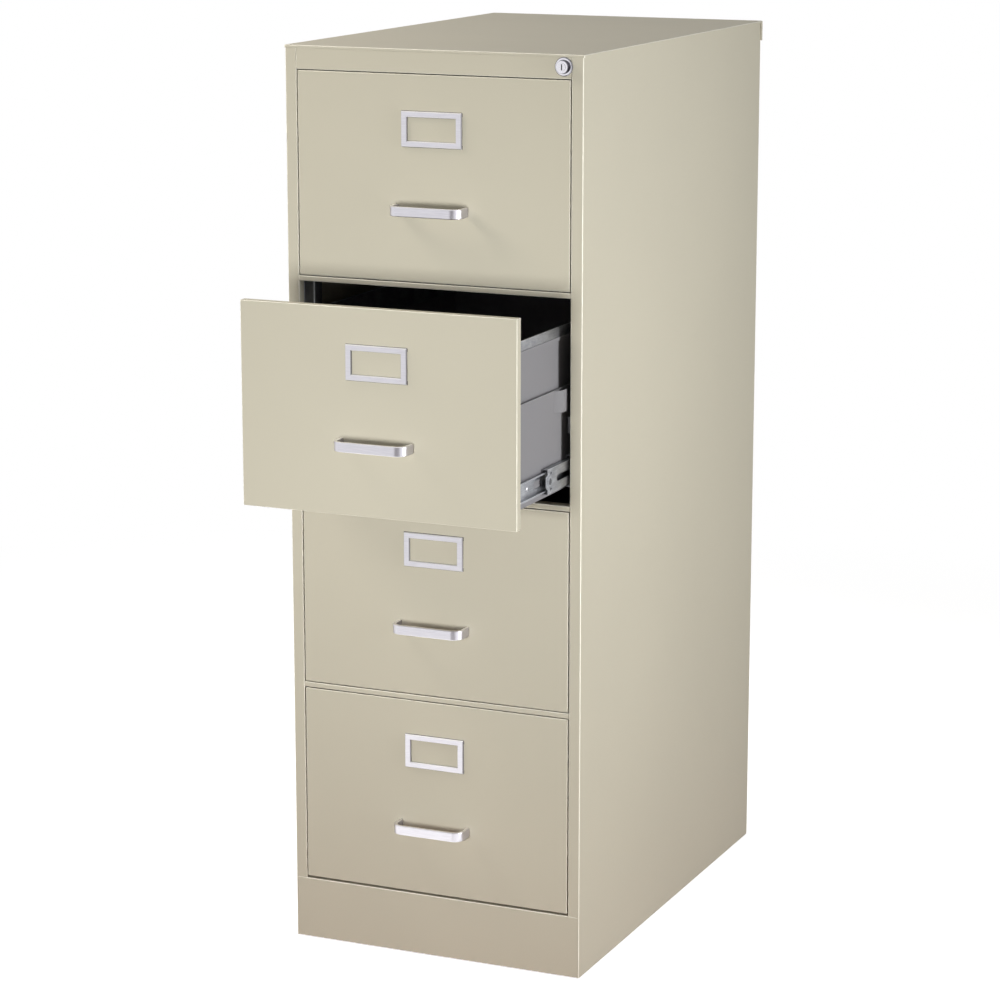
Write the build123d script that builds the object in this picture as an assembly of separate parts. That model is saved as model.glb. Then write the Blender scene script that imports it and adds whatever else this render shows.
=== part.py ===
from build123d import *
import os

# A four-drawer vertical file for legal-size folders, made of folded steel sheet, with one
# drawer drawn out. Lengths are in millimetres. +Z is up, the front faces -Y and +X is the
# right-hand side seen from the front. Pieces are laid out with y = 0 on the front plane of
# the case. The last step shifts them so that the origin is the middle of the footprint of
# the stored pose, drawn-out drawer included, on the floor.

# Case
case_width = 457.2
case_depth = 724.0
case_sheet = 1.0
fold_radius = 1.5
seam = 0.2
foot_clearance = 1.5
lid_fit = 0.5
lid_lip = 4.0
lid_skirt = 30.0
lid_overhang = 5.0
top_rail_height = 33.5
stile_width = 17.5
stile_return = 14.0
rear_flange = 18.0
back_hem = 10.0
kick_height = 93.0
kick_flange = 18.0
kick_corner = 2.4
rail_height = 7.5
rail_flange = 18.0
pan_height = 17.5
post_foot = 12.0
post_face = 24.0
front_post_start = 34.0
rear_post_inset = 18.0
post_top_drop = 7.5

# Levelling glides
glide_pad_radius = 14.0
glide_pad_height = 6.0
glide_rim = 3.0
glide_stem_radius = 4.0
glide_stem_top = 27.0
glide_inset = 46.0
glide_nut_radius = 8.0
glide_nut_height = 6.0
glide_fit = 0.1

# Drawer fronts
drawer_count = 4
open_drawer = 2
open_length = 180.0
front_height = 289.5
front_depth = 12.0
front_sheet = 1.0
front_lip = 8.0
front_edge = 1.2
front_gap = 1.5
front_side_gap = 1.6
sill_gap = 3.5

# Drawer bodies
body_sheet = 0.9
body_length = 654.0
body_bottom = 22.0
body_step = 5.0
step_height = 166.0
step_groove = 3.0
step_lip = 2.2
wall_top = 236.0
hem_gap = 1.0
hem_height = 4.0
back_flange = 9.0
liner_margin = 5.0
rib_count = 4
rib_length = 300.0
rib_width = 14.0
rib_rise = 2.0

# Side tab, lanced from the right-hand drawer wall under the step and bent outwards
tab_start = 155.0
tab_length = 29.0
tab_height = 31.0
tab_reach = 8.0
tab_slope = 14.0
tab_root = 3.0

# Hanging-file rails
file_rail_sheet = 1.0
file_rail_top = 251.0
file_rail_overhang = 2.3
file_rail_skirt = 13.5
file_rail_leg = 42.0

# Handles
handle_length = 111.0
handle_reach = 33.0
handle_width = 14.0
handle_strip = 5.0
handle_bend = 13.8
handle_edge = 1.4
handle_height = 102.0
handle_tap_radius = 1.65
handle_tap_depth = 12.0

# Label holders
label_width = 94.0
label_height = 51.0
label_window_width = 72.8
label_window_height = 31.7
label_thickness = 3.0
label_bevel = 28.0
label_corner = 1.5
label_card_gap = 0.8
label_card_margin = 4.0
label_centre_height = 214.0

# Ball-bearing slides, in three telescoping members
slide_thickness = 12.7
slide_inset = 0.9
slide_rear_gap = 3.4
slide_axis_height = 46.5
slide_travel = 640.0
slide_sheet = 1.2
slide_front_gap = 0.6
slide_fold = 1.6
outer_member_height = 45.7
outer_member_lip = 3.8
outer_member_reach = 10.7
middle_member_height = 35.6
middle_member_lip = 2.9
middle_member_reach = 8.9
middle_web_gap = 1.2
inner_member_height = 25.6
inner_member_reach = 7.4
inner_member_lip = 0.8
retainer_sheet = 0.6
retainer_gap = 0.3
retainer_length = 300.0
retainer_start = 190.0
outer_retainer_reach = 6.9
inner_retainer_reach = 5.4
boss_radius = 7.0
boss_height = 0.7
boss_hole_radius = 1.8
boss_setback = 13.0
end_hole_radius = 2.2
end_hole_offset = 11.2
end_hole_setback = 17.0
tongue_half = 7.5
tongue_reach = 6.0
slot_width = 9.0
slot_length = 110.0
slot_start = 38.0
slot_pitch = 155.0
punch_length = 28.0
punch_height = 11.0
punch_start = 68.0
punch_pitch = 190.0

# Plunger lock and locking bar
lock_inset = 11.1
barrel_radius = 9.5
barrel_depth = 24.0
ring_radius = 13.0
ring_height = 3.0
ring_chamfer = 1.2
plunger_radius = 8.7
plunger_reach = 9.0
plunger_depth = 26.0
plunger_fit = 0.05
lock_travel = 8.0
key_plug_radius = 5.5
key_plug_depth = 18.0
key_plug_proud = 0.4
keyhole_width = 1.5
keyhole_height = 8.4
keyhole_depth = 6.0
lock_nut_radius = 14.0
lock_nut_depth = 4.0
wedge_width = 8.0
wedge_length = 13.0
wedge_tip = 1.5
wedge_drop = 8.5
pin_radius = 2.0
pin_length = 20.0
pin_clearance = 0.3
bar_sheet = 2.0
bar_width = 10.0
bar_start = 15.0
bar_inset = 2.4
bar_tail = 12.0
bar_head_height = 16.0
bar_head_width = 24.0
finger_sheet = 2.0
finger_height = 23.0
finger_reach = 12.0
finger_base_height = 99.5
guide_height = 14.0
guide_wall = 1.1
guide_reach = 7.0
guide_drop = 44.0
catch_sheet = 1.2
catch_clearance = 4.0
catch_lift = 2.0
catch_height = 30.0
catch_tip = 2.1
catch_hook = 4.3
catch_foot = 5.0

# How far a cutter reaches past the face that it cuts
overcut = 1.0

# Sizes that follow from the ones above
lid_half = case_width / 2
side_outer = lid_half - case_sheet - lid_fit
side_inner = side_outer - case_sheet
body_depth = case_depth - lid_overhang
opening_half = side_outer - stile_width
front_half = opening_half - front_side_gap
front_pitch = front_height + 2 * front_gap + rail_height
lowest_front = kick_height + sill_gap
opening_top = lowest_front + (drawer_count - 1) * front_pitch + front_height + front_gap
case_height = opening_top + top_rail_height
under_lid = case_height - case_sheet
back_face = body_depth - 2 * case_sheet
post_top = opening_top - post_top_drop
slide_back = opening_half - slide_inset
body_half = slide_back - slide_thickness
upper_half = body_half - body_step
liner_back = front_depth + body_sheet
body_end = liner_back + body_length
slide_start = liner_back + slide_front_gap
slide_length = body_length - slide_front_gap - slide_rear_gap
rear_post_end = slide_start + slide_length - rear_post_inset
middle_web = slide_thickness - slide_sheet - middle_web_gap
lock_x = opening_half - lock_inset
lock_z = opening_top + top_rail_height / 2
bar_face = opening_half + bar_inset
bar_back = bar_face + bar_sheet
bar_edge = bar_start + finger_sheet + seam
finger_tip = bar_face - finger_reach
footprint_middle = (case_depth - open_length - handle_reach) / 2


def front_bottom(number):
    """Height of the lower edge of a drawer front, counted from the top drawer."""
    return lowest_front + (drawer_count - number) * front_pitch


def block(low, high):
    """Box between two corners."""
    size = [high[axis] - low[axis] for axis in range(3)]
    return Pos(*low) * Box(*size, align=(Align.MIN, Align.MIN, Align.MIN))


def folded(points, thickness, side, radius=None):
    """Section of a folded sheet: the points run along one face, or along the middle."""
    line = FilletPolyline(*points, radius=radius) if radius else Polyline(*points)
    amount = thickness / 2 if side == Side.BOTH else thickness
    return make_face(offset(line, amount=amount, side=side, kind=Kind.INTERSECTION))


def along_x(section, start, end):
    """Extrude a section drawn in (y, z) from one x to another."""
    return Pos(start, 0, 0) * extrude(Plane.YZ * section, amount=end - start, dir=(1, 0, 0))


def along_y(section, start, end):
    """Extrude a section drawn in (x, z) from one y to another."""
    return Pos(0, start, 0) * extrude(Plane.XZ * section, amount=end - start, dir=(0, 1, 0))


def along_z(section, start, end):
    """Extrude a section drawn in (x, y) from one z to another."""
    return Pos(0, 0, start) * extrude(section, amount=end - start, dir=(0, 0, 1))


def hole_x(radius, y, z, start, end):
    """Cylinder along x, for holes and pins."""
    return along_x(Pos(y, z) * Circle(radius), start, end)


def left_of(shape):
    """The same piece on the left-hand side."""
    return mirror(shape, about=Plane.YZ)


def side_panel():
    """Right side: front stile with its return, outer wall and rear flange in one sheet."""
    plan = folded(
        [
            (opening_half, stile_return),
            (opening_half, 0),
            (side_outer, 0),
            (side_outer, body_depth),
            (side_outer - rear_flange, body_depth),
        ],
        case_sheet,
        Side.LEFT,
        fold_radius,
    )
    panel = along_z(plan, foot_clearance, under_lid)
    lock_notch = block(
        (opening_half - overcut, case_sheet, opening_top - seam),
        (lock_x + lock_nut_radius + seam, stile_return + overcut, case_height),
    )
    lip_notch = block(
        (opening_half - overcut, -overcut, case_height - lid_lip - seam),
        (side_outer + overcut, case_sheet + seam, case_height),
    )
    kick_notch = block(
        (opening_half - overcut, -overcut, 0),
        (side_outer - kick_corner, stile_return + overcut, kick_height + seam),
    )
    return panel - lock_notch - lip_notch - kick_notch


def back_panel():
    """Flat back between the sides, with a hem under the lid."""
    profile = folded(
        [(back_face + case_sheet, foot_clearance), (back_face + case_sheet, under_lid),
         (back_face + case_sheet - back_hem, under_lid)],
        case_sheet,
        Side.LEFT,
        fold_radius,
    )
    half = side_outer - fold_radius - seam
    return along_x(profile, -half, half)


def top_lid():
    """Lid pressed as a pan: a low lip at the front and sides, and a deeper skirt at the back."""
    low = case_height - lid_skirt
    outside = block((-lid_half, 0, low), (lid_half, case_depth, case_height))
    top_edges = outside.faces().sort_by(Axis.Z)[-1].edges()
    corners = outside.edges().filter_by(Axis.Z)
    lid = fillet(top_edges + corners, fold_radius)
    lid -= block(
        (case_sheet - lid_half, case_sheet, low - overcut),
        (lid_half - case_sheet, case_depth - case_sheet, under_lid),
    )
    return lid - block(
        (-lid_half - overcut, -overcut, low - overcut),
        (lid_half + overcut, back_face, case_height - lid_lip),
    )


def kick_panel():
    """Front base panel over the full width, folded back at its top and bottom."""
    profile = folded(
        [(kick_flange, foot_clearance), (0, foot_clearance), (0, kick_height),
         (kick_flange, kick_height)],
        case_sheet,
        Side.RIGHT,
        fold_radius,
    )
    half = side_outer - kick_corner - seam
    return along_x(profile, -half, half)


def glide_points():
    """Places of the four levelling glides."""
    near = kick_flange + glide_inset
    far = back_face - glide_inset
    side = side_inner - glide_inset
    return [(-side, near), (side, near), (-side, far), (side, far)]


def bottom_pan():
    """Floor of the case: an inverted tray with a weld nut over each glide."""
    pan = block((-side_inner, kick_flange, foot_clearance), (side_inner, back_face, pan_height))
    pan -= block(
        (case_sheet - side_inner, kick_flange + case_sheet, 0),
        (side_inner - case_sheet, back_face - case_sheet, pan_height - case_sheet),
    )
    bore = Circle(glide_stem_radius + glide_fit)
    weld_nut = extrude(Circle(glide_nut_radius) - bore, amount=glide_nut_height)
    for x, y in glide_points():
        pan -= Pos(x, y) * extrude(bore, amount=pan_height + overcut)
        pan += Pos(x, y, pan_height) * weld_nut
    return pan


def levelling_glide(x, y):
    """Turned foot: a dished pad on a stem."""
    half_section = Polyline(
        (0, 0),
        (glide_pad_radius, 0),
        (glide_pad_radius, glide_rim),
        (glide_stem_radius, glide_pad_height),
        (glide_stem_radius, glide_stem_top),
        (0, glide_stem_top),
        close=True,
    )
    turned = revolve(Plane.XZ * make_face(half_section), axis=Axis.Z)
    return Pos(x, y, 0) * turned


def front_rail(number):
    """Channel under the front of one drawer."""
    top = front_bottom(number) - front_gap
    base = top - rail_height
    profile = folded(
        [(rail_flange, base), (0, base), (0, top), (rail_flange, top)],
        case_sheet,
        Side.RIGHT,
        fold_radius,
    )
    return along_x(profile, seam - opening_half, opening_half - seam)


def top_rail():
    """Rail under the lid's front lip, with the hole for the lock."""
    profile = folded(
        [(rail_flange, opening_top), (0, opening_top), (0, case_height - lid_lip - seam)],
        case_sheet,
        Side.RIGHT,
        fold_radius,
    )
    rail = along_x(profile, seam - opening_half, opening_half - seam)
    return rail - lock_place * Cylinder(barrel_radius + seam, 4 * case_sheet)


def slide_post(start):
    """Upright hat channel on the right side panel, which the slides are riveted to."""
    foot_line = side_inner - case_sheet / 2
    face_line = slide_back + case_sheet / 2
    plan = folded(
        [
            (foot_line, start),
            (foot_line, start + post_foot),
            (face_line, start + post_foot),
            (face_line, start + post_foot + post_face),
            (foot_line, start + post_foot + post_face),
            (foot_line, start + 2 * post_foot + post_face),
        ],
        case_sheet,
        Side.BOTH,
        fold_radius,
    )
    return along_z(plan, pan_height, post_top)


def slide_height(number):
    """Height of the middle line of one drawer's slides."""
    return front_bottom(number) + slide_axis_height


def on_slide(section, number):
    """Place a slide section, drawn out from the right drawer wall, at its drawer's height."""
    return Pos(body_half, slide_height(number)) * section


def slots(start, count, pitch, length, width, height):
    """Row of obround slots in a slide web, cut across x."""
    cutters = []
    for index in range(count):
        middle = start + length / 2 + index * pitch
        cutters.append(Pos(middle, height) * SlotOverall(length, width))
    return [along_x(cutter, body_half, slide_back + overcut) for cutter in cutters]


def outer_member(number):
    """Case member of a right-hand slide: the widest channel, open towards the drawer."""
    half = outer_member_height / 2
    lip = half - outer_member_lip
    near = slide_thickness - outer_member_reach
    section = folded(
        [(near, lip), (near, half), (slide_thickness, half), (slide_thickness, -half),
         (near, -half), (near, -lip)],
        slide_sheet,
        Side.RIGHT,
        slide_fold,
    )
    return along_y(on_slide(section, number), slide_start, slide_start + slide_length)


def middle_member(number):
    """Middle member: rides in the outer one and carries the inner one."""
    half = middle_member_height / 2
    lip = half - middle_member_lip
    near = middle_web - middle_member_reach
    section = folded(
        [(near, lip), (near, half), (middle_web, half), (middle_web, -half),
         (near, -half), (near, -lip)],
        slide_sheet,
        Side.RIGHT,
        slide_fold,
    )
    height = slide_height(number)
    web = body_half + middle_web
    nose = slide_start + boss_setback
    member = along_y(on_slide(section, number), slide_start, slide_start + slide_length)
    for side in (-1, 1):
        member -= tongue_corner(height, side)
    member += hole_x(boss_radius, nose, height, web - slide_sheet, web + boss_height)
    member -= hole_x(boss_hole_radius, nose, height, body_half, slide_back)
    for side in (-1, 1):
        hole = (slide_start + end_hole_setback, height + side * end_hole_offset)
        member -= hole_x(end_hole_radius, *hole, body_half, slide_back)
    free = slide_length - slot_start - slot_length
    count = int(free // slot_pitch) + 1
    for slot in slots(slide_start + slot_start, count, slot_pitch, slot_length, slot_width, height):
        member -= slot
    return member


def tongue_corner(height, side):
    """What is cut away above or below the tongue at the front of a middle member."""
    corner = Polyline(
        (slide_start - overcut, height + side * tongue_half),
        (slide_start, height + side * tongue_half),
        (slide_start + tongue_reach, height + side * (tongue_half + tongue_reach / 2)),
        (slide_start + tongue_reach, height + side * outer_member_height / 2),
        (slide_start - overcut, height + side * outer_member_height / 2),
        close=True,
    )
    return along_x(make_face(corner), body_half, slide_back)


def inner_member(number):
    """Drawer member: the narrowest channel, fixed to the drawer wall."""
    line = inner_member_height / 2 - slide_sheet / 2
    tip = inner_member_height / 2 + inner_member_lip
    reach = inner_member_reach - slide_sheet / 2
    section = folded(
        [(reach, tip), (reach, line), (slide_sheet / 2, line), (slide_sheet / 2, -line),
         (reach, -line), (reach, -tip)],
        slide_sheet,
        Side.BOTH,
        slide_sheet / 2 + 0.1,
    )
    height = slide_height(number)
    member = along_y(on_slide(section, number), slide_start, slide_start + slide_length)
    count = int((slide_length - punch_start - punch_length) // punch_pitch) + 1
    for index in range(count):
        start = slide_start + punch_start + index * punch_pitch
        member -= block(
            (body_half - overcut, start, height - punch_height / 2),
            (body_half + slide_sheet + overcut, start + punch_length, height + punch_height / 2),
        )
    return member


def retainer(number, web, line, reach):
    """Ball retainer: a light channel in the gap between two slide members."""
    middle = web - retainer_sheet / 2
    section = folded(
        [(middle - reach, line), (middle, line), (middle, -line), (middle - reach, -line)],
        retainer_sheet,
        Side.BOTH,
        retainer_sheet,
    )
    end = retainer_start + retainer_length
    return along_y(on_slide(section, number), retainer_start, end)


def outer_retainer(number):
    """Retainer between the outer and the middle member."""
    line = (outer_member_height / 2 - slide_sheet + middle_member_height / 2) / 2
    web = slide_thickness - slide_sheet - retainer_gap
    return retainer(number, web, line, outer_retainer_reach)


def inner_retainer(number):
    """Retainer between the middle and the inner member."""
    line = (middle_member_height / 2 - slide_sheet + inner_member_height / 2 + inner_member_lip) / 2
    web = middle_web - slide_sheet - retainer_gap
    return retainer(number, web, line, inner_retainer_reach)


def drawer_front(number):
    """Front pressed as a pan: flat face, folded edges and a lip around the back."""
    base = front_bottom(number)
    top = base + front_height
    front = block((-front_half, 0, base), (front_half, front_depth, top))
    face_edges = front.faces().sort_by(Axis.Y)[0].edges()
    corners = front.edges().filter_by(Axis.Y)
    front = fillet(face_edges + corners, front_edge)
    front -= block(
        (front_sheet - front_half, front_sheet, base + front_sheet),
        (front_half - front_sheet, front_depth - front_sheet, top - front_sheet),
    )
    front -= block(
        (front_lip - front_half, front_sheet, base + front_lip),
        (front_half - front_lip, front_depth + overcut, top - front_lip),
    )
    return front


def drawer_wall_line():
    """Outer face of the right wall, from the bottom corner up to the rolled top edge."""
    inner_lip = body_half - step_lip
    groove = step_height - step_groove
    hem = upper_half + hem_gap
    return [
        (body_half, body_bottom),
        (body_half, step_height),
        (inner_lip, step_height),
        (inner_lip, groove),
        (upper_half, groove),
        (upper_half, wall_top),
        (hem, wall_top),
        (hem, wall_top - hem_height),
    ]


def drawer_body(number):
    """Bottom and both walls folded from one sheet, with the liner behind the front."""
    base = front_bottom(number)
    right = drawer_wall_line()
    left = [(-x, z) for x, z in reversed(right)]
    section = Pos(0, base) * folded(left + right, body_sheet, Side.LEFT)
    body = along_y(section, liner_back, body_end)
    body += block(
        (liner_margin - front_half, front_depth, base + liner_margin),
        (front_half - liner_margin, liner_back, base + front_height - liner_margin),
    )
    window, tab = side_tab(base)
    body = body - window + tab
    floor = base + body_bottom + body_sheet
    pitch = body_length / rib_count
    for index in range(rib_count):
        y = liner_back + pitch * (index + 0.5)
        body += pressed_rib(y, floor)
    return body


def pressed_rib(y, floor):
    """Low stiffening rib pressed up across the bottom of a drawer."""
    profile = Polyline(
        (y - rib_width / 2, floor),
        (y - rib_width / 4, floor + rib_rise),
        (y + rib_width / 4, floor + rib_rise),
        (y + rib_width / 2, floor),
        close=True,
    )
    return along_x(make_face(profile), -rib_length / 2, rib_length / 2)


def side_tab(base):
    """Tab lanced from the right wall and bent outwards, and the window that it leaves."""
    end = tab_start + tab_length
    top = base + step_height - body_sheet
    low = top - tab_height
    line = body_half - body_sheet / 2
    plan = folded(
        [
            (line, tab_start - tab_root),
            (line, tab_start),
            (line + tab_reach, tab_start + tab_slope),
            (line + tab_reach, end),
        ],
        body_sheet,
        Side.BOTH,
    )
    window = block(
        (body_half - body_sheet - overcut, tab_start, low - seam),
        (body_half + overcut, end + seam, top),
    )
    return window, along_z(plan, low, top - seam)


def drawer_back(number):
    """Back of the drawer, shaped to the walls, with a flange along its top."""
    base = front_bottom(number)
    wide = body_half - body_sheet - seam
    narrow = upper_half - body_sheet - seam
    floor = base + body_bottom + body_sheet
    shoulder = base + step_height - step_groove - body_sheet - seam
    top = base + wall_top
    outline = Polyline(
        (-wide, floor), (wide, floor), (wide, shoulder), (narrow, shoulder), (narrow, top),
        (-narrow, top), (-narrow, shoulder), (-wide, shoulder),
        close=True,
    )
    sheet = along_y(make_face(outline), body_end - body_sheet, body_end)
    flange_half = narrow - 2 * file_rail_sheet
    flange = block(
        (-flange_half, body_end - body_sheet - back_flange, top - body_sheet),
        (flange_half, body_end - body_sheet / 2, top),
    )
    return sheet + flange


def file_rail(number):
    """Right-hand hanging-file rail: stands on the wall and turns over at its top."""
    base = front_bottom(number)
    half_sheet = file_rail_sheet / 2
    leg = upper_half - body_sheet - half_sheet
    top = base + file_rail_top - half_sheet
    section = folded(
        [
            (leg, base + file_rail_top - file_rail_leg),
            (leg, top),
            (leg + file_rail_overhang, top),
            (leg + file_rail_overhang, base + file_rail_top - file_rail_skirt),
        ],
        file_rail_sheet,
        Side.BOTH,
        file_rail_sheet,
    )
    return along_y(section, liner_back + seam, body_end - body_sheet - seam)


def drawer_handle(number):
    """Bow handle bent from a flat bar, tapped at both ends for screws through the front."""
    foot = -handle_strip / 2
    bar = handle_strip / 2 - handle_reach
    leg = (handle_length - handle_strip) / 2
    plan = folded([(-leg, foot), (-leg, bar), (leg, bar), (leg, foot)], handle_strip, Side.BOTH, handle_bend)
    middle = front_bottom(number) + handle_height
    handle = along_z(plan, middle - handle_width / 2, middle + handle_width / 2)
    rims = handle.faces().filter_by(Axis.Z)
    handle = fillet(rims.edges(), handle_edge)
    for side in (-1, 1):
        tap = Plane.XZ * Pos(side * leg, middle) * Circle(handle_tap_radius)
        handle -= extrude(tap, amount=handle_tap_depth, dir=(0, -1, 0))
    return handle


def label_holder(number):
    """Bevelled frame with a window, open at one end for the card."""
    place = Pos(0, 0, front_bottom(number) + label_centre_height) * Rot(90, 0, 0)
    outer = RectangleRounded(label_width, label_height, label_corner)
    window = Rectangle(label_window_width, label_window_height)
    frame = extrude(outer, amount=label_thickness, taper=label_bevel)
    frame -= extrude(window, amount=label_thickness + overcut, taper=-label_bevel)
    pocket_low = -label_window_width / 2 - label_card_margin
    pocket_half = label_window_height / 2 + label_card_margin
    frame -= block((pocket_low, -pocket_half, -overcut), (label_width, pocket_half, label_card_gap))
    return place * frame


def lock_catch(number):
    """Hook behind the right edge of a drawer front, which a raised finger holds."""
    low = front_bottom(number) + finger_base_height + finger_height + catch_lift
    hook_back = bar_start + finger_sheet + catch_clearance + catch_sheet / 2
    stem = finger_tip - catch_tip - catch_sheet / 2
    plan = folded(
        [
            (stem + catch_foot, liner_back + catch_sheet / 2),
            (stem, liner_back + catch_sheet / 2),
            (stem, hook_back),
            (stem + catch_hook, hook_back),
        ],
        catch_sheet,
        Side.BOTH,
        catch_sheet / 2 + 0.2,
    )
    return along_z(plan, low, low + catch_height)


def lock_housing():
    """Barrel of the lock, with the ring that shows on the top rail."""
    half_section = Polyline(
        (plunger_radius + plunger_fit, -barrel_depth),
        (barrel_radius, -barrel_depth),
        (barrel_radius, 0),
        (ring_radius, 0),
        (ring_radius, ring_height - ring_chamfer),
        (ring_radius - ring_chamfer, ring_height),
        (plunger_radius + plunger_fit, ring_height),
        close=True,
    )
    return lock_place * revolve(Plane.XZ * make_face(half_section), axis=Axis.Z)


def lock_nut():
    """Hexagonal nut that holds the housing from behind the top rail."""
    flats = RegularPolygon(lock_nut_radius, 6) - Circle(barrel_radius + plunger_fit)
    return lock_place * Pos(0, 0, -case_sheet - lock_nut_depth) * extrude(flats, amount=lock_nut_depth)


def lock_plunger():
    """Plunger that is pushed in to lock: its rear wedge lifts the locking bar."""
    barrel = Pos(0, 0, -plunger_depth) * extrude(Circle(plunger_radius), amount=plunger_depth + plunger_reach)
    barrel -= Pos(0, 0, plunger_reach + key_plug_proud - key_plug_depth - pin_clearance) * extrude(
        Circle(key_plug_radius + plunger_fit), amount=key_plug_depth + plunger_reach
    )
    rear = plunger_depth + wedge_length
    low = lock_z - wedge_drop
    side_view = Polyline(
        (plunger_depth - 1, low),
        (rear, low),
        (rear, low + wedge_tip),
        (plunger_depth, low + wedge_tip + wedge_length),
        (plunger_depth - 1, low + wedge_tip + wedge_length),
        close=True,
    )
    wedge = along_x(make_face(side_view), lock_x - wedge_width / 2, lock_x + wedge_width / 2)
    return lock_place * barrel + wedge


def key_plug():
    """Key plug, which turns inside the plunger, with its keyhole."""
    rear = plunger_reach + key_plug_proud - key_plug_depth
    plug = Pos(0, 0, rear) * extrude(Circle(key_plug_radius), amount=key_plug_depth)
    keyhole = Pos(0, 0, plunger_reach + key_plug_proud - keyhole_depth) * extrude(
        Rectangle(keyhole_width, keyhole_height), amount=keyhole_depth + overcut
    )
    return lock_place * (plug - keyhole)


def lock_bar():
    """Locking bar behind the right stile: its strip, and its head with the lifting pin."""
    tail = front_bottom(drawer_count) + finger_base_height - bar_tail
    pin_y = plunger_depth + wedge_length - pin_radius
    ramp_z = lock_z - wedge_drop + wedge_tip + pin_radius
    pin_z = ramp_z + (pin_radius + pin_clearance) * 2 ** 0.5
    head_low = pin_z - bar_head_height + 2 * pin_radius
    head_high = pin_z + 2 * pin_radius
    strip = block((bar_face, bar_edge, tail), (bar_back, bar_edge + bar_width, head_low))
    head = block((bar_face, bar_edge, head_low), (bar_back, bar_edge + bar_head_width, head_high))
    head += hole_x(pin_radius, pin_y, pin_z, bar_face - pin_length, bar_back)
    return [strip, head]


def lock_finger(number):
    """Angle riveted to the locking bar, whose front leg reaches in behind the stile."""
    low = front_bottom(number) + finger_base_height
    plan = folded(
        [(finger_tip, bar_start), (bar_back + finger_sheet, bar_start),
         (bar_back + finger_sheet, bar_edge + bar_width)],
        finger_sheet,
        Side.LEFT,
    )
    return along_z(plan, low, low + finger_height)


def bar_guide(number):
    """Moulded guide on the side panel that the locking bar slides through."""
    top = front_bottom(number) - guide_drop
    low = top - guide_height
    near = bar_edge - guide_reach
    far = bar_edge + bar_width + guide_wall + seam
    guide = block((bar_face - seam - guide_wall, near, low), (side_inner, far, top))
    guide -= block(
        (bar_face - seam, bar_edge - seam, low - overcut),
        (bar_back + seam, bar_edge + bar_width + seam, top + overcut),
    )
    return guide


def save(name, *solids):
    """Move a sub-part to the frame of the whole and write it."""
    shape = solids[0] if len(solids) == 1 else Compound(children=list(solids))
    export_step(Pos(0, -footprint_middle, 0) * shape, f"parts/{name}.step")


# The lock's own axis: +Z of a lock piece points out of the front of the case.
lock_place = Pos(lock_x, 0, lock_z) * Rot(90, 0, 0)

os.makedirs("parts", exist_ok=True)

right_panel = side_panel()
save("side_panel_right", right_panel)
save("side_panel_left", left_of(right_panel))
save("back_panel", back_panel())
save("top_lid", top_lid())
save("kick_panel", kick_panel())
save("bottom_pan", bottom_pan())
save("levelling_glides", *[levelling_glide(x, y) for x, y in glide_points()])
save("front_rails", top_rail(), *[front_rail(number) for number in range(1, drawer_count)])
rear_post_start = rear_post_end - 2 * post_foot - post_face
right_posts = [slide_post(front_post_start), slide_post(rear_post_start)]
save("slide_posts", *right_posts, *[left_of(post) for post in right_posts])
right_outers = [outer_member(number) for number in range(1, drawer_count + 1)]
save("slide_outer_members", *right_outers, *[left_of(member) for member in right_outers])
save("lock_housing", lock_housing())
save("lock_nut", lock_nut())
save("lock_plunger", lock_plunger())
save("key_plug", key_plug())
save("lock_bar", *lock_bar(), *[lock_finger(number) for number in range(1, drawer_count + 1)])
save("lock_bar_guides", *[bar_guide(number) for number in range(1, drawer_count)])

for number in range(1, drawer_count + 1):
    out = open_length if number == open_drawer else 0
    drawer = f"drawer_{number}"
    moved = Pos(0, -out, 0)
    halfway = Pos(0, -out / 2, 0)
    save(f"{drawer}_front", moved * drawer_front(number))
    save(f"{drawer}_body", moved * drawer_body(number))
    save(f"{drawer}_back", moved * drawer_back(number))
    save(f"{drawer}_handle", moved * drawer_handle(number))
    save(f"{drawer}_label_holder", moved * label_holder(number))
    save(f"{drawer}_lock_catch", moved * lock_catch(number))
    rail = moved * file_rail(number)
    save(f"{drawer}_file_rails", rail, left_of(rail))
    member = moved * inner_member(number)
    save(f"{drawer}_slide_inner", member, left_of(member))
    member = halfway * middle_member(number)
    save(f"{drawer}_slide_middle", member, left_of(member))
    cage = Pos(0, -out / 4, 0) * outer_retainer(number)
    save(f"{drawer}_outer_retainers", cage, left_of(cage))
    cage = Pos(0, -out * 3 / 4, 0) * inner_retainer(number)
    save(f"{drawer}_inner_retainers", cage, left_of(cage))
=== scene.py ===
import math

import bmesh
import bpy
from mathutils import Matrix, Vector


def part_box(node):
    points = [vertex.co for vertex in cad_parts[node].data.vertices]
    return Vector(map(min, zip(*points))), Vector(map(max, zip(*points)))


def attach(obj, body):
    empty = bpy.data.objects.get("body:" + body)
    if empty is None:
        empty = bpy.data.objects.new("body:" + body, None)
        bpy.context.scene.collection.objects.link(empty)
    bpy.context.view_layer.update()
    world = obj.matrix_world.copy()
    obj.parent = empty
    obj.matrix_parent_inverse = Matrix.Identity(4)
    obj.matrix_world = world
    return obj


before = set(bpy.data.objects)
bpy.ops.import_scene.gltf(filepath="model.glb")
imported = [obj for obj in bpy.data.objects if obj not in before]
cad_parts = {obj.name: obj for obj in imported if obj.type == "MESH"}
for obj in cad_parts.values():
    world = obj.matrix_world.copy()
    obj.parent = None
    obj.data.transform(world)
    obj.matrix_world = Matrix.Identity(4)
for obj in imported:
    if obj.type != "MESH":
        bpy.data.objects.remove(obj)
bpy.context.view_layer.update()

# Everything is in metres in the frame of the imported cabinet: origin on the floor below the
# middle of the stored pose, front towards -Y, +Z up.

DRAWERS = (1, 2, 3, 4)
SIDES = (-1, 1)
FRONT_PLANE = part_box("side_panel_right")[0].y

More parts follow.
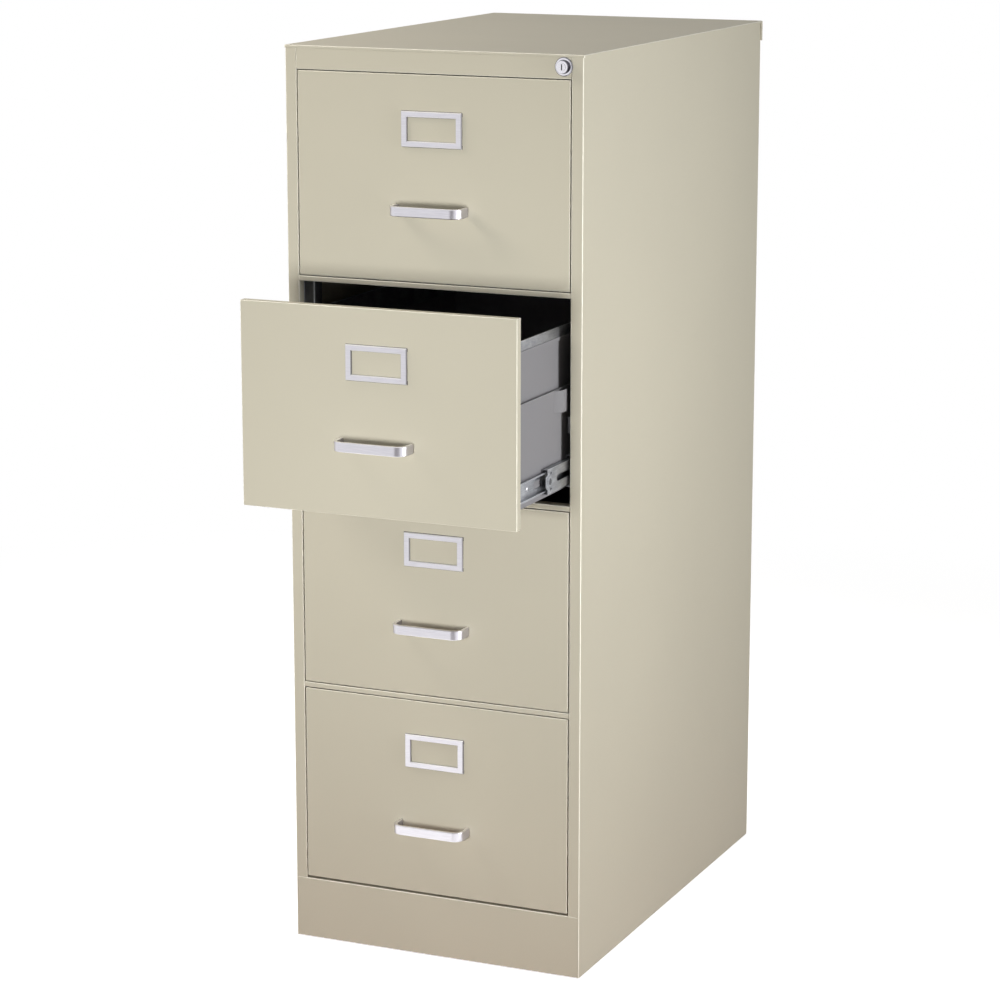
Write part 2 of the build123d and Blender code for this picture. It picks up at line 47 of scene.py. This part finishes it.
# Sockets of the Mix node when it mixes colours
MIX_FACTOR, MIX_FIRST, MIX_SECOND = 0, 6, 7
MIX_RESULT = 2


# Shader nodes

class Shade:
    """A value in a node tree. Arithmetic on it adds Math nodes."""

    def __init__(self, nodes, socket):
        self.nodes = nodes
        self.socket = socket

    def maths(self, operation, *values):
        return self.nodes.add("ShaderNodeMath", {"operation": operation}, list(values))

    def __add__(self, other):
        return self.maths("ADD", self, other)

    def __sub__(self, other):
        return self.maths("SUBTRACT", self, other)

    def __rsub__(self, other):
        return self.maths("SUBTRACT", other, self)

    def __mul__(self, other):
        return self.maths("MULTIPLY", self, other)

    def at_most(self, other):
        return self.maths("MINIMUM", self, other)

    def at_least(self, other):
        return self.maths("MAXIMUM", self, other)

    def ramp(self, low, high, at_low=0.0, at_high=1.0):
        """Map the value smoothly from low..high to at_low..at_high."""
        settings = {"interpolation_type": "SMOOTHSTEP"}
        return self.nodes.add("ShaderNodeMapRange", settings, [self, low, high, at_low, at_high])


class Nodes:
    """The node tree of a material or of the world."""

    def __init__(self, tree):
        self.tree = tree

    def add(self, kind, settings=None, inputs=None, output=0):
        """Add a node: its settings first, then the values or links of its sockets."""
        node = self.tree.nodes.new(kind)
        for name, value in (settings or {}).items():
            setattr(node, name, value)
        pairs = inputs.items() if isinstance(inputs, dict) else enumerate(inputs or [])
        for key, value in pairs:
            if isinstance(value, Shade):
                self.tree.links.new(value.socket, node.inputs[key])
            else:
                node.inputs[key].default_value = value
        return Shade(self, node.outputs[output])

    def place(self, stretch=(1, 1, 1)):
        """Object coordinates in metres, scaled along each axis."""
        coordinates = self.add("ShaderNodeTexCoord", output="Object")
        return self.add("ShaderNodeMapping", {}, {"Vector": coordinates, "Scale": stretch})

    def noise(self, where, scale, detail=2.0, roughness=0.5):
        """Soft noise; scale is in cells to the metre."""
        values = {"Vector": where, "Scale": scale, "Detail": detail, "Roughness": roughness}
        return self.add("ShaderNodeTexNoise", {}, values)

    def blend(self, factor, first, second):
        """Mix two colours by a factor."""
        inputs = {MIX_FACTOR: factor, MIX_FIRST: first, MIX_SECOND: second}
        return self.add("ShaderNodeMix", {"data_type": "RGBA"}, inputs, output=MIX_RESULT)

    def bump(self, height, distance):
        """Raise the surface by height times distance, in metres."""
        return self.add("ShaderNodeBump", {}, {"Distance": distance, "Height": height})

    def parts(self, vector):
        """The three numbers of a vector."""
        return [self.add("ShaderNodeSeparateXYZ", {}, [vector], output=axis) for axis in range(3)]

    def facing(self):
        """How squarely the surface faces along x, y and z, either way: 1 is straight along it."""
        normal = self.add("ShaderNodeNewGeometry", output="Normal")
        return self.parts(self.add("ShaderNodeVectorMath", {"operation": "ABSOLUTE"}, [normal]))

    def off_axis(self):
        """How far the surface turns off the three axes: 0 on flat sheet, 0.29 midway in a bend."""
        x, y, z = self.facing()
        return 1 - x.at_least(y).at_least(z)


def srgb(red, green, blue):
    """Colour as seen on screen, 0 to 255, as the linear values that nodes take."""
    def linear(level):
        level /= 255
        return level / 12.92 if level <= 0.04045 else ((level + 0.055) / 1.055) ** 2.4
    return (linear(red), linear(green), linear(blue), 1.0)


def scaled(colour, factor):
    """The colour made darker or paler."""
    return tuple(min(1.0, channel * factor) for channel in colour[:3]) + (1.0,)


def finish(name, fixed, build=None):
    """Make a material: fixed values go on the shader, and build gives the varying ones."""
    material = bpy.data.materials.new(name)
    material.use_nodes = True
    tree = material.node_tree
    shader = tree.nodes["Principled BSDF"]
    for socket, value in fixed.items():
        shader.inputs[socket].default_value = value
    varying = build(Nodes(tree)) if build else {}
    for socket, value in varying.items():
        tree.links.new(value.socket, shader.inputs[socket])
    return material


# Colours

PUTTY = srgb(200, 195, 177)
# Near-white painted highlight for the folds of the putty enamel
PUTTY_FOLD_HIGHLIGHT = srgb(252, 249, 236)
GREY = srgb(136, 135, 138)
# Paler painted highlight for the folds of the grey enamel
GREY_FOLD_HIGHLIGHT = srgb(190, 189, 192)
ALUMINIUM = srgb(226, 224, 231)
ALUMINIUM_DARK = srgb(210, 208, 215)
# Painted highlight for the up- and down-facing edges of handles and label frames
ALUMINIUM_RIM_HIGHLIGHT = srgb(247, 246, 248)
# Painted shade for the sideways-facing legs of the handles
HANDLE_LEG_SHADE = srgb(204, 202, 211)
# Painted shade for the sideways-facing walls of the label frames
FRAME_END_SHADE = srgb(140, 138, 142)
# Painted contact shadow where a label frame meets the drawer front
FRAME_ROOT_SHADOW = srgb(64, 62, 60)
# Painted shade for chrome walls and for the shadow line round the plunger
CHROME_WALL_SHADE = srgb(74, 72, 82)
CHROME_DARK = srgb(218, 216, 223)
CHROME = srgb(238, 237, 242)
# Painted black for the shade inside the keyhole
KEYHOLE_SHADE_BLACK = srgb(14, 14, 16)
NYLON_DARK = srgb(214, 211, 199)
NYLON = srgb(228, 225, 214)

# Each zinc plate as the colour of its paler and of its darker clouds
BRIGHT_ZINC = srgb(178, 180, 185), srgb(136, 138, 143)
DULL_ZINC = srgb(168, 169, 172), srgb(132, 133, 137)
RIVET_ZINC = srgb(104, 105, 108), srgb(74, 75, 78)
POST_ZINC = srgb(170, 171, 172), srgb(138, 139, 141)


# Finishes

# How a texture is stretched so that its cells become lines along one axis
LINES_ALONG_Y = (1, 0.05, 1)
LINES_ALONG_Z = (1, 1, 0.05)
GROUND_ALONG_X = (0.03, 1, 1)

# A painted contact shadow darkens the foot of a label frame's edges between these distances from
# its back
ROOT_SHADOW_START, ROOT_SHADOW_END = 0.0017, 0.0009

# Radii between which the painted shadow line round the plunger comes in and goes out again
GROOVE_SHADOW_IN = (0.0082, 0.0087)
GROOVE_SHADOW_OUT = (0.0095, 0.0102)

# How far behind its face the key plug starts to be painted black as shade in the keyhole, and over
# what depth
KEYHOLE_SHADE_SETBACK = 0.0003
KEYHOLE_SHADE_FADE = 0.0003

key_low, key_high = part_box("key_plug")
LOCK_CENTRE = ((key_low.x + key_high.x) / 2, 0, (key_low.z + key_high.z) / 2)


def enamel(colour, fold_highlight_colour, gloss, fold_start, fold_end):
    """Baked enamel on folded sheet: faint clouds, fine orange peel, and a painted highlight on the
    folds.

    The highlight is painted where the surface turns off the axes by fold_start to fold_end.
    """
    def build(nodes):
        where = nodes.place()
        cloud = nodes.noise(where, scale=3.0, detail=3.0)
        speck = nodes.noise(where, scale=900.0)
        peel = nodes.noise(where, scale=420.0, detail=1.0)
        mottle = cloud.ramp(0.3, 0.7) * 0.7 + speck.ramp(0.4, 0.6) * 0.3
        sheet = nodes.blend(mottle, scaled(colour, 0.975), scaled(colour, 1.02))
        # The folds are painted paler as a highlight, and are also made a little glossier
        fold_highlight = nodes.off_axis().ramp(fold_start, fold_end)
        return {
            "Base Color": nodes.blend(fold_highlight * 0.9, sheet, fold_highlight_colour),
            "Roughness": cloud * 0.06 + speck * 0.05 + gloss - fold_highlight * 0.12,
            "Normal": nodes.bump(peel, distance=0.00004),
        }
    return build


def zinc(colours, gloss, stretch=LINES_ALONG_Y):
    """Rolled and zinc-plated steel: fine lines along the strip, soft clouds, and a painted
    highlight on the folds.
    """
    pale, dark = colours

    def build(nodes):
        lines = nodes.noise(nodes.place(stretch), scale=900.0, detail=3.0, roughness=0.6)
        cloud = nodes.noise(nodes.place(), scale=38.0, detail=4.0, roughness=0.6)
        mix = lines.ramp(0.35, 0.65) * 0.4 + cloud.ramp(0.35, 0.65) * 0.6
        sheet = nodes.blend(mix, dark, pale)
        # The folds are painted paler as a highlight
        fold_highlight = nodes.off_axis().ramp(0.03, 0.2)
        return {
            "Base Color": nodes.blend(fold_highlight * 0.8, sheet, scaled(pale, 1.6)),
            "Roughness": cloud * 0.16 + lines * 0.1 + gloss,
            "Normal": nodes.bump(lines, distance=0.00003),
        }
    return build


def ground_strip(nodes):
    """Anodised strip ground along its length, as a face colour and the grinding lines."""
    lines = nodes.noise(nodes.place(GROUND_ALONG_X), scale=1500.0)
    cloud = nodes.noise(nodes.place(), scale=60.0)
    mix = lines.ramp(0.3, 0.7) * 0.7 + cloud * 0.3
    return nodes.blend(mix, ALUMINIUM_DARK, ALUMINIUM), lines


def handle_aluminium(nodes):
    """Ground bar, with a painted highlight on its upper and lower edges and painted shade on its
    legs.
    """
    face, lines = ground_strip(nodes)
    x, _, z = nodes.facing()
    # painted highlight on the faces that point up or down
    rim_highlight = nodes.blend(z.ramp(0.5, 0.9), face, ALUMINIUM_RIM_HIGHLIGHT)
    return {
        # painted shade on the faces that point sideways
        "Base Color": nodes.blend(x.ramp(0.5, 0.9), rim_highlight, HANDLE_LEG_SHADE),
        "Roughness": lines * 0.1 + 0.26,
        "Normal": nodes.bump(lines, distance=0.00002),
    }


def frame_aluminium(back):
    """Ground frame: a painted highlight on its sloping edges, painted shade on the walls that face
    sideways, and a painted shadow where the edges meet the drawer front.
    """
    def build(nodes):
        face, lines = ground_strip(nodes)
        x, y, _ = nodes.facing()
        edge = y.ramp(0.4, 0.8, at_low=1.0, at_high=0.0)
        # painted highlight on the sloping edges, painted shade on the walls that face sideways
        bevel_highlight_and_shade = nodes.blend(x.ramp(0.5, 0.8), ALUMINIUM_RIM_HIGHLIGHT, FRAME_END_SHADE)
        depth = nodes.parts(nodes.place())[1]
        # painted contact shadow at the foot of the edges
        root_shadow = depth.ramp(back - ROOT_SHADOW_START, back - ROOT_SHADOW_END)
        return {
            "Base Color": nodes.blend(root_shadow * 0.9, nodes.blend(edge, face, bevel_highlight_and_shade), FRAME_ROOT_SHADOW),
            "Roughness": lines * 0.1 + 0.26 + edge * 0.3,
            "Metallic": 1 - edge,
            "Normal": nodes.bump(lines, distance=0.00002),
        }
    return build


def turned_chrome(shade_depth=None):
    """Bright plate on turned work: polished faces, with painted shade on the walls.

    A painted shadow line runs where the plunger comes out of its ring. If a depth is given, the key
    plug is painted black behind it, as shade in the keyhole.
    """
    def build(nodes):
        where = nodes.place()
        buffing = nodes.noise(where, scale=700.0)
        # painted shade on the walls that turn away from the front
        wall_shade = nodes.facing()[1].ramp(0.6, 0.98, at_low=0.85, at_high=0.0)
        face = nodes.blend(buffing, CHROME_DARK, CHROME)
        spread = [nodes.place((1, 0, 1)), LOCK_CENTRE]
        radius = nodes.add("ShaderNodeVectorMath", {"operation": "DISTANCE"}, spread, "Value")
        # painted shadow line round the plunger
        groove_shadow = radius.ramp(*GROOVE_SHADOW_IN) * radius.ramp(*GROOVE_SHADOW_OUT, at_low=1.0, at_high=0.0)
        colour = nodes.blend(wall_shade.at_least(groove_shadow * 0.7), face, CHROME_WALL_SHADE)
        if shade_depth is not None:
            # the keyhole is painted black as shade
            keyhole_shade = nodes.parts(where)[1].ramp(shade_depth, shade_depth + KEYHOLE_SHADE_FADE)
            colour = nodes.blend(keyhole_shade, colour, KEYHOLE_SHADE_BLACK)
        return {
            "Base Color": colour,
            "Roughness": buffing * 0.08 + 0.1,
            "Normal": nodes.bump(buffing, distance=0.00001),
        }
    return build


def moulded_nylon(nodes):
    """Natural nylon with a fine mould grain."""
    grain = nodes.noise(nodes.place(), scale=1400.0)
    cloud = nodes.noise(nodes.place(), scale=90.0)
    return {
        "Base Color": nodes.blend(cloud, NYLON_DARK, NYLON),
        "Roughness": grain * 0.15 + 0.42,
        "Normal": nodes.bump(grain, distance=0.00004),
    }


PAINT = {"Specular IOR Level": 0.2}
METAL = {"Metallic": 1.0}

putty = finish(
    "putty_enamel", PAINT, enamel(PUTTY, PUTTY_FOLD_HIGHLIGHT, gloss=0.5, fold_start=0.01, fold_end=0.16)
)
grey = finish(
    "grey_enamel", PAINT, enamel(GREY, GREY_FOLD_HIGHLIGHT, gloss=0.48, fold_start=0.16, fold_end=0.28)
)
bright_zinc = finish("bright_zinc", METAL, zinc(BRIGHT_ZINC, gloss=0.26))
dull_zinc = finish("dull_zinc", METAL, zinc(DULL_ZINC, gloss=0.34))
rivet_steel = finish("rivet_steel", METAL, zinc(RIVET_ZINC, gloss=0.34))
post_steel = finish("post_steel", METAL, zinc(POST_ZINC, gloss=0.36, stretch=LINES_ALONG_Z))
handle_finish = finish("handle_aluminium", METAL, handle_aluminium)
chrome = finish("lock_chrome", METAL, turned_chrome())
key_chrome = finish("key_chrome", METAL, turned_chrome(key_low.y + KEYHOLE_SHADE_SETBACK))
nylon = finish("natural_nylon", {}, moulded_nylon)

CASE_FINISHES = {
    "side_panel_left": putty,
    "side_panel_right": putty,
    "back_panel": putty,
    "top_lid": putty,
    "kick_panel": putty,
    "bottom_pan": putty,
    "front_rails": putty,
    "slide_posts": post_steel,
    "slide_outer_members": bright_zinc,
    "lock_housing": chrome,
    "lock_nut": dull_zinc,
    "lock_plunger": chrome,
    "key_plug": key_chrome,
    "lock_bar": dull_zinc,
    "lock_bar_guides": nylon,
    "levelling_glides": dull_zinc,
}
DRAWER_FINISHES = {
    "front": putty,
    "body": grey,
    "back": grey,
    "file_rails": dull_zinc,
    "handle": handle_finish,
    "lock_catch": dull_zinc,
    "slide_inner": bright_zinc,
    "slide_middle": bright_zinc,
    "outer_retainers": dull_zinc,
    "inner_retainers": dull_zinc,
}


def finish_of(node):
    """The material of a CAD node. Each label frame has its own, set by where its drawer stands."""
    if node in CASE_FINISHES:
        return CASE_FINISHES[node]
    _, number, piece = node.split("_", 2)
    if piece == "label_holder":
        return finish(f"frame_aluminium_{number}", {}, frame_aluminium(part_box(node)[1].y))
    return DRAWER_FINISHES[piece]


for node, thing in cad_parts.items():
    thing.data.materials.clear()
    thing.data.materials.append(finish_of(node))


# Small pieces that only the visual model has

SMOOTH_UNDER = math.radians(40)


def add_object(name, data):
    """Put a new object in the scene."""
    thing = bpy.data.objects.new(name, data)
    bpy.context.scene.collection.objects.link(thing)
    return thing


def mesh_from(work, name):
    """Turn finished mesh work into a mesh."""
    mesh = bpy.data.meshes.new(name)
    work.to_mesh(mesh)
    work.free()
    return mesh


def smooth_by_angle(mesh, angle):
    """Shade a mesh smooth where its faces meet at less than an angle."""
    work = bmesh.new()
    work.from_mesh(mesh)
    for face in work.faces:
        face.smooth = True
    for edge in work.edges:
        edge.smooth = len(edge.link_faces) == 2 and edge.calc_face_angle() < angle
    work.to_mesh(mesh)
    work.free()


def make_piece(name, work, material, body):
    """Turn mesh work into a piece that rides on a body."""
    bmesh.ops.recalc_face_normals(work, faces=work.faces)
    mesh = mesh_from(work, name)
    smooth_by_angle(mesh, SMOOTH_UNDER)
    mesh.materials.append(material)
    piece = add_object(name, mesh)
    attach(piece, body)


def turned(work, profile, centre, axis, steps=16):
    """Spin a profile of (radius, height) pairs about an axis through a centre."""
    aim = Vector((0, 0, 1)).rotation_difference(axis).to_matrix().to_4x4()
    matrix = Matrix.Translation(centre) @ aim
    rings = []
    for radius, height in profile:
        if radius == 0:
            rings.append([work.verts.new(matrix @ Vector((0, 0, height)))])
            continue
        ring = []
        for step in range(steps):
            turn = 2 * math.pi * step / steps
            point = Vector((radius * math.cos(turn), radius * math.sin(turn), height))
            ring.append(work.verts.new(matrix @ point))
        rings.append(ring)
    for low, high in zip(rings, rings[1:]):
        for step in range(steps):
            after = (step + 1) % steps
            if len(low) == 1:
                work.faces.new((low[0], high[step], high[after]))
            else:
                work.faces.new((low[step], low[after], high[after], high[step]))


# Slide balls

# Known fault: the race of the inner rows is too narrow for this radius. The balls there stand
# 0.16 mm in the drawer's member and 0.25 mm in the middle one, in every pose.
BALL_RADIUS = 0.00175
BALL_PITCH = 0.0222
BALL_END_MARGINS = 0.02
ROW_FROM_EDGE = 0.0003
OUTER_ROW_INSET = 0.0049
INNER_ROW_INSET = 0.0036


def balls(retainers, body, inset):
    """Two rows of balls in each of a pair of retainers, ridden on their body."""
    low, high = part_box(retainers)
    count = int((high.y - low.y - BALL_END_MARGINS) / BALL_PITCH) + 1
    start = (low.y + high.y - (count - 1) * BALL_PITCH) / 2
    work = bmesh.new()
    for side in SIDES:
        for z in (low.z + ROW_FROM_EDGE, high.z - ROW_FROM_EDGE):
            for index in range(count):
                spot = Vector((side * (high.x - inset), start + index * BALL_PITCH, z))
                bmesh.ops.create_icosphere(
                    work, subdivisions=2, radius=BALL_RADIUS, matrix=Matrix.Translation(spot)
                )
    name = retainers.replace("retainers", "balls")
    make_piece(name, work, bright_zinc, body)


for number in DRAWERS:
    balls(f"drawer_{number}_outer_retainers", f"outer_retainers_{number}", OUTER_ROW_INSET)
    balls(f"drawer_{number}_inner_retainers", f"inner_retainers_{number}", INNER_ROW_INSET)


# Screws, rivets and studs

# Profiles of turned heads, as (radius, height) pairs from the middle of the top outwards
RIVET = [(0.0, 0.0014), (0.0017, 0.0012), (0.0031, 0.0004), (0.0034, 0.0), (0.0034, -0.0002)]
FLUSH_RIVET = [(0.0, 0.00016), (0.0026, 0.00016), (0.0034, 0.0), (0.0034, -0.0002)]
PAN_SCREW = [
    (0.0, 0.0011), (0.0012, 0.0012), (0.0014, 0.0020), (0.0026, 0.0018),
    (0.0040, 0.0008), (0.0043, 0.0), (0.0043, -0.0002),
]
STOP_STUD = [
    (0.0, 0.00015), (0.0012, 0.00015), (0.0016, 0.0003),
    (0.0044, 0.0003), (0.0048, 0.0), (0.0048, -0.0002),
]

# Handle screws: distance from the middle of the handle, and the gauge of the liner they sit on
HANDLE_SCREW_X = 0.053
LINER_GAUGE = 0.0009

# Rivets of the drawer's slide members: depth of the web, first rivet, step and number
INNER_WEB = 0.0062
RIVET_SETBACK = 0.046
RIVET_STEP = 0.190
RIVET_COUNT = 4

# Stud near the nose of each middle member
STUD_SETBACK = 0.013

# Rivets of the case members: from the front and from the rear of the posts, above and below the
# middle, and the gauge of the member
POST_RIVET_FRONT = 0.058
POST_RIVET_REAR = 0.024
POST_RIVET_RISES = (-0.012, 0.012)
OUTER_GAUGE = 0.0012

post_lines = (FRONT_PLANE + POST_RIVET_FRONT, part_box("slide_posts")[1].y - POST_RIVET_REAR)
outer_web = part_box("slide_outer_members")[1].x - OUTER_GAUGE


def fasteners(name, spots, profile, material, body):
    """A set of identical turned heads: each spot is a place and the way its head points."""
    work = bmesh.new()
    for place, axis in spots:
        turned(work, profile, Vector(place), Vector(axis))
    make_piece(name, work, material, body)


for number in DRAWERS:
    drawer = f"drawer_{number}"

    handle_low, handle_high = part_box(f"{drawer}_handle")
    grip = (handle_low.z + handle_high.z) / 2
    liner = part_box(f"{drawer}_front")[1].y + LINER_GAUGE
    spots = [((side * HANDLE_SCREW_X, liner, grip), (0, 1, 0)) for side in SIDES]
    fasteners(f"handle_screws_{number}", spots, PAN_SCREW, dull_zinc, drawer)

    inner_low, inner_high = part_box(f"{drawer}_slide_inner")
    slide_axis = (inner_low.z + inner_high.z) / 2
    web = inner_high.x - INNER_WEB
    lines = [inner_low.y + RIVET_SETBACK + step * RIVET_STEP for step in range(RIVET_COUNT)]
    spots = [((side * web, y, slide_axis), (side, 0, 0)) for side in SIDES for y in lines]
    fasteners(f"slide_rivets_{number}", spots, RIVET, dull_zinc, drawer)

    middle_low, middle_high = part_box(f"{drawer}_slide_middle")
    nose = middle_low.y + STUD_SETBACK
    spots = [((side * middle_high.x, nose, slide_axis), (side, 0, 0)) for side in SIDES]
    fasteners(f"slide_studs_{number}", spots, STOP_STUD, rivet_steel, f"slide_middle_{number}")

    spots = [
        ((side * outer_web, y, slide_axis + rise), (-side, 0, 0))
        for side in SIDES for y in post_lines for rise in POST_RIVET_RISES
    ]
    fasteners(f"post_rivets_{number}", spots, FLUSH_RIVET, dull_zinc, "case")


# Camera

PICTURE_WIDTH = 1000
SENSOR_WIDTH = 36.0


def camera(position, heading, tilt, focal_pixels):
    """Camera by place and angles; the focal length is given in pixels of the square picture."""
    data = bpy.data.cameras.new("view")
    data.sensor_fit = "HORIZONTAL"
    data.sensor_width = SENSOR_WIDTH
    data.lens = focal_pixels * SENSOR_WIDTH / PICTURE_WIDTH
    data.clip_end = 60.0
    thing = add_object("view", data)
    thing.location = position
    thing.rotation_euler = (math.radians(90 - tilt), 0, math.radians(heading))
    bpy.context.scene.camera = thing


camera(
    position=(1.884, FRONT_PLANE - 4.020, 1.669),
    heading=23.89,
    tilt=12.49,
    focal_pixels=3202,
)


# Studio

WHITE = (1, 1, 1, 1)
STUDIO_HALF = 8.0
AMBIENT = 0.17
CARD = (0.5, 0.5, 0.52, 1)

# The floor as the camera sees it: paper with a glow, white from SHADOW_FAR outwards
FLOOR_SEEN = (0.85, 0.85, 0.85, 1)
FLOOR_GLOW = 0.72
SHADOW_NEAR, SHADOW_FAR = 1.3, 2.6

# The light that the floor gives back, by distance from the middle
NEAR_BOUNCE = (0.27, 0.13, 0.09, 1)
FAR_BOUNCE = (0.26, 0.25, 0.22, 1)
BOUNCE_NEAR, BOUNCE_FAR = 0.5, 1.3


def seen_rays(nodes):
    """1 for rays from the camera and for those mirrored or passed on to it, 0 for lighting."""
    camera_ray, glossy_ray, clear_ray = (
        nodes.add("ShaderNodeLightPath", output=name)
        for name in ("Is Camera Ray", "Is Glossy Ray", "Is Transmission Ray")
    )
    return (camera_ray + glossy_ray + clear_ray).at_most(1.0)


def floor_material():
    """White paper to the camera and mirrors, and a tinted low bounce to everything else."""
    material = bpy.data.materials.new("studio_floor")
    material.use_nodes = True
    tree = material.node_tree
    nodes = Nodes(tree)
    where = nodes.place()
    distance = nodes.add("ShaderNodeVectorMath", {"operation": "LENGTH"}, [where], "Value")
    paper = nodes.add("ShaderNodeBsdfDiffuse", {}, {"Color": FLOOR_SEEN})
    glow = nodes.add("ShaderNodeEmission", {}, {"Strength": FLOOR_GLOW})
    white = nodes.add("ShaderNodeEmission", {}, {"Strength": 1.0})
    near = nodes.add("ShaderNodeAddShader", {}, [paper, glow])
    outwards = distance.ramp(SHADOW_NEAR, SHADOW_FAR)
    shown = nodes.add("ShaderNodeMixShader", {}, [outwards, near, white])
    tone = nodes.blend(distance.ramp(BOUNCE_NEAR, BOUNCE_FAR), NEAR_BOUNCE, FAR_BOUNCE)
    bounce = nodes.add("ShaderNodeBsdfDiffuse", {}, {"Color": tone})
    surface = nodes.add("ShaderNodeMixShader", {}, [seen_rays(nodes), bounce, shown])
    tree.links.new(surface.socket, tree.nodes["Material Output"].inputs["Surface"])
    return material


def studio_floor():
    """Pale floor that keeps the cabinet's shadow near it and turns plain white further out."""
    work = bmesh.new()
    bmesh.ops.create_grid(work, x_segments=1, y_segments=1, size=STUDIO_HALF)
    mesh = mesh_from(work, "floor")
    mesh.materials.append(floor_material())
    add_object("floor", mesh)


def white_world():
    """White where the camera or a mirror looks, and a low even light for everything else."""
    world = bpy.data.worlds.new("studio")
    bpy.context.scene.world = world
    world.use_nodes = True
    nodes = Nodes(world.node_tree)
    background = world.node_tree.nodes["Background"]
    background.inputs["Color"].default_value = WHITE
    level = seen_rays(nodes).ramp(0.0, 1.0, at_low=AMBIENT, at_high=1.0)
    world.node_tree.links.new(level.socket, background.inputs["Strength"])


def dark_card(left, right, depth, height):
    """Upright grey card in front of the cabinet that only mirrored rays see, dark against white."""
    work = bmesh.new()
    corners = [(left, depth, 0), (right, depth, 0), (right, depth, height), (left, depth, height)]
    work.faces.new([work.verts.new(corner) for corner in corners])
    mesh = mesh_from(work, "dark_card")
    mesh.materials.append(finish("dark_card", {"Base Color": CARD, "Roughness": 0.9}))
    thing = add_object("dark_card", mesh)
    thing.visible_camera = False
    thing.visible_diffuse = False
    thing.visible_transmission = False
    thing.visible_shadow = False


def soft_light(name, position, target, size, power, spread=180, colour=(1, 1, 1), mirrored=True):
    """Rectangular softbox aimed at a point; a spread under 180 degrees is a grid in front of it."""
    data = bpy.data.lights.new(name, "AREA")
    data.shape = "RECTANGLE"
    data.size, data.size_y = size
    data.energy = power
    data.spread = math.radians(spread)
    data.color = colour
    thing = add_object(name, data)
    thing.visible_glossy = mirrored
    thing.location = position
    aim = Vector(target) - Vector(position)
    thing.rotation_euler = aim.to_track_quat("-Z", "Y").to_euler()


studio_floor()
white_world()
dark_card(left=-0.06, right=0.66, depth=FRONT_PLANE - 0.9, height=1.3)
soft_light(
    "side_key",
    position=(1.75, FRONT_PLANE - 0.11, 0.92),
    target=(0.23, FRONT_PLANE + 0.04, 0.9),
    size=(0.4, 1.5),
    power=24.6,
)
soft_light(
    "front_fill",
    position=(0.12, FRONT_PLANE - 3.4, 0.76),
    target=(0, FRONT_PLANE, 0.77),
    size=(0.7, 0.7),
    power=10.4,
    spread=62,
    mirrored=False,
)
soft_light(
    "top_light",
    position=(-1.5, FRONT_PLANE - 0.4, 2.35),
    target=(-0.1, -0.1, 1.3),
    size=(0.8, 0.8),
    power=27,
    colour=(1.0, 0.93, 0.85),
    mirrored=False,
)
soft_light(
    "back_light",
    position=(-1.95, 2.5, 0.7),
    target=(-0.05, 0.4, 0.68),
    size=(1.2, 1.2),
    power=11.5,
    spread=62,
    mirrored=False,
)

bpy.context.scene.view_settings.view_transform = "Standard"
